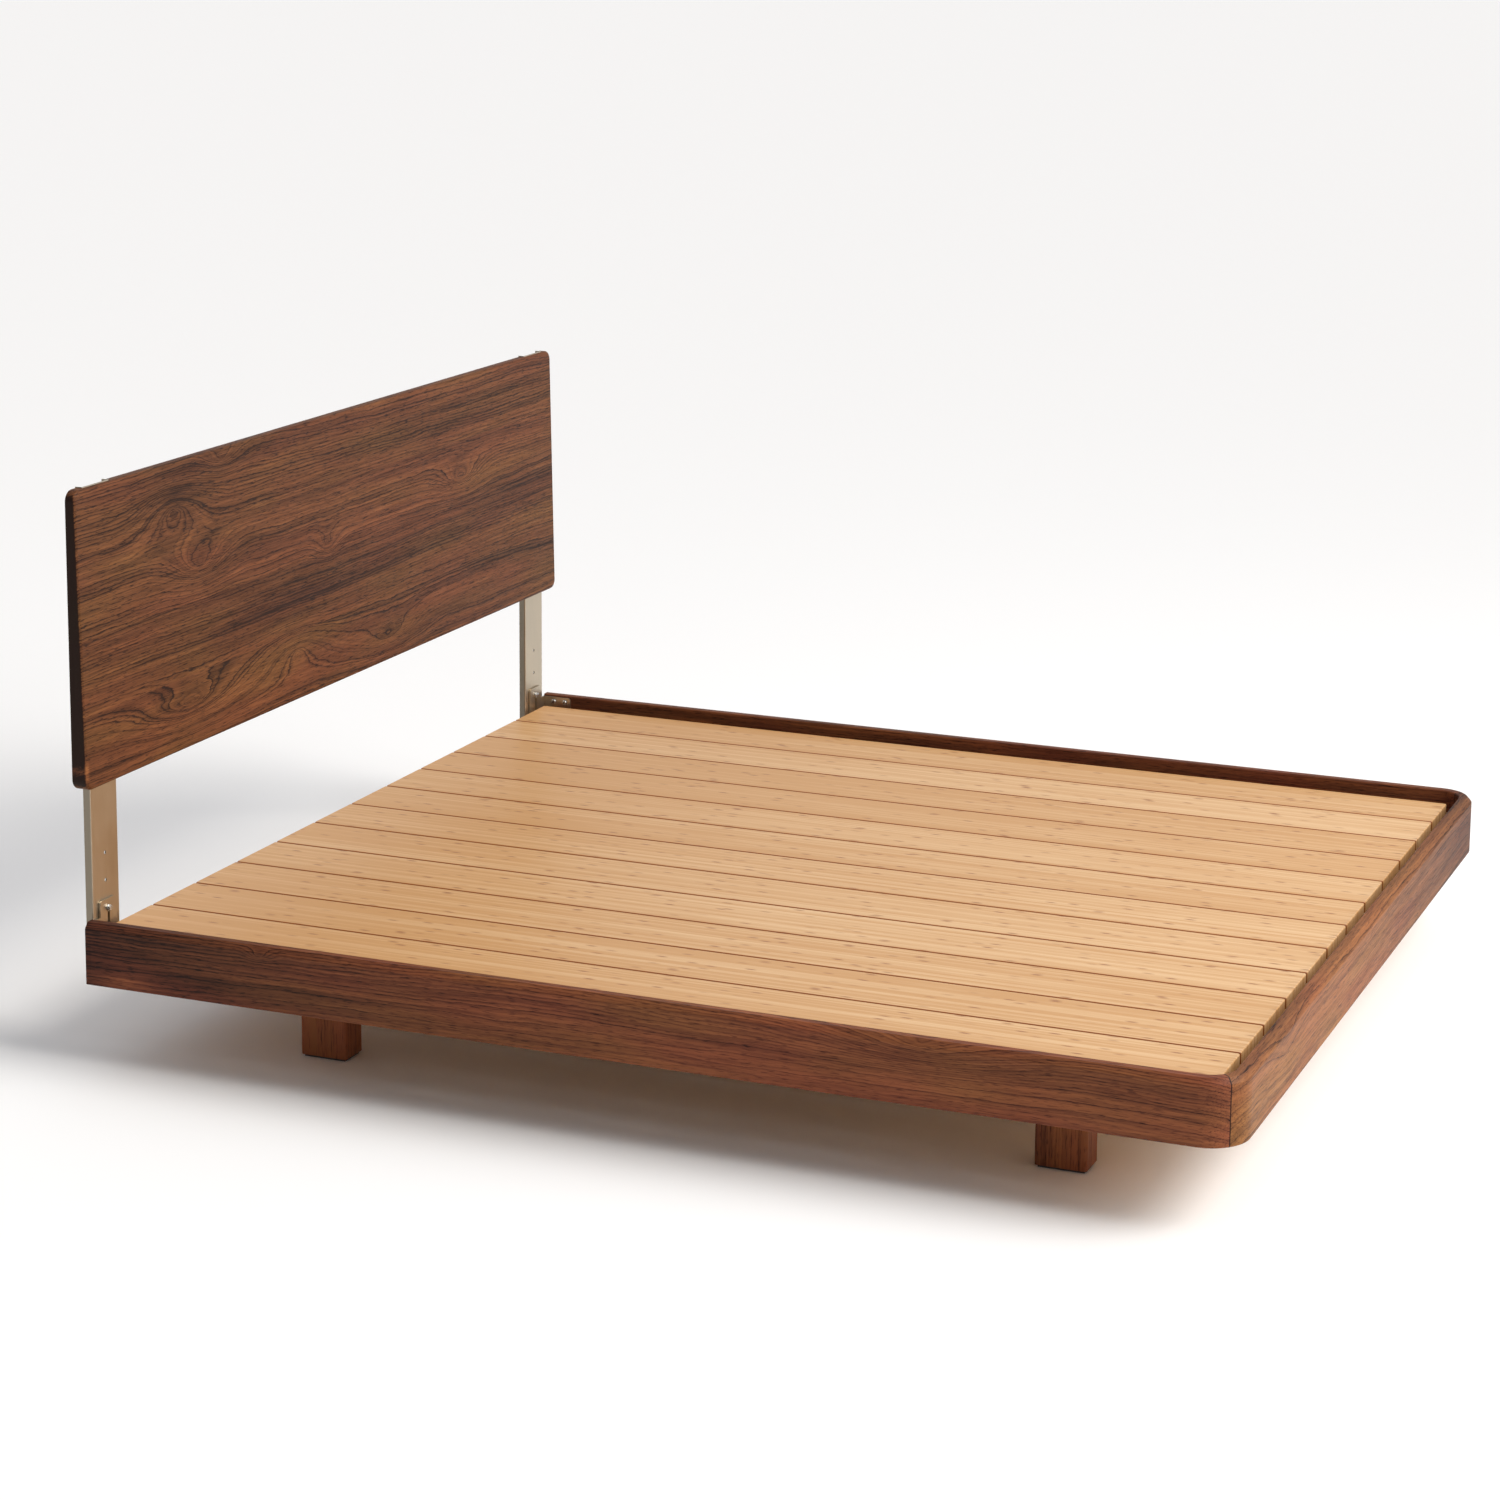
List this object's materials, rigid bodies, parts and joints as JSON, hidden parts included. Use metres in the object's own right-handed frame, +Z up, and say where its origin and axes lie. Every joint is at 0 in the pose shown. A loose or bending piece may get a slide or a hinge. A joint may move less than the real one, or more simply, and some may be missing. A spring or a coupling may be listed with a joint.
{
  "type": "bed frame",
  "caption": "Low timber bed frame with a recessed lengthwise slat deck, mitred rounded foot corners and a tapered headboard held on two steel posts.",
  "frame": {"origin": "on the floor, in the middle of the bed's own box", "axes": "+X across the width to the right of someone at the foot who faces the headboard, +Y from the foot to the headboard, +Z up"},
  "size_m": [1.868, 2.084, 1.0215],
  "materials": {
    "walnut": "satin oiled black walnut",
    "bamboo": "satin lacquered edge-pressed bamboo",
    "post_steel": "satin nickel plate on folded steel",
    "bracket_steel": "satin nickel plate on steel plate",
    "zinc_hardware": "bright zinc plate",
    "softwood": "planed pine",
    "plywood": "birch plywood",
    "felt": "dark wool felt",
    "black_plastic": "matt moulded"
  },
  "bodies": {
    "frame": {"bearer_1": "softwood", "bearer_2": "softwood", "bearer_3": "softwood", "bracket_bolts": "zinc_hardware", "centre_beam": "softwood", "centre_beam_screws": "zinc_hardware", "centre_leg_foot": "softwood", "centre_leg_head": "softwood", "corner_block_left": "softwood", "corner_block_right": "softwood", "corner_screws": "zinc_hardware", "foot_cleat": "softwood", "foot_cleat_screws": "zinc_hardware", "foot_rail": "walnut", "head_rail": "softwood", "head_rail_angles": "bracket_steel", "head_rail_screws": "zinc_hardware", "leg_beam_foot": "softwood", "leg_beam_head": "softwood", "leg_bolts": "zinc_hardware", "leg_foot_left": "walnut", "leg_foot_right": "walnut", "leg_head_left": "walnut", "leg_head_right": "walnut", "leg_pads": "felt", "leg_plates": "bracket_steel", "levelling_feet": "black_plastic", "mitre_tongues": "plywood", "post_bracket_left": "bracket_steel", "post_bracket_right": "bracket_steel", "side_cleat_left": "softwood", "side_cleat_right": "softwood", "side_cleat_screws": "zinc_hardware", "side_rail_left": "walnut", "side_rail_right": "walnut", "slat_01": "bamboo", "slat_02": "bamboo", "slat_03": "bamboo", "slat_04": "bamboo", "slat_05": "bamboo", "slat_06": "bamboo", "slat_07": "bamboo", "slat_08": "bamboo", "slat_09": "bamboo", "slat_10": "bamboo", "slat_11": "bamboo", "slat_12": "bamboo", "slat_screws": "zinc_hardware"},
    "headboard": {"headboard_panel": "walnut", "headboard_post_left": "post_steel", "headboard_post_right": "post_steel", "panel_screws": "zinc_hardware", "post_bolts": "zinc_hardware", "post_washers": "zinc_hardware", "post_nuts": "zinc_hardware"}
  },
  "joints": [
    {"name": "headboard_height", "type": "slide", "parent": "frame", "child": "headboard", "axis": [0, 0, 1], "range_m": [-0.1, 0]}
  ]
}
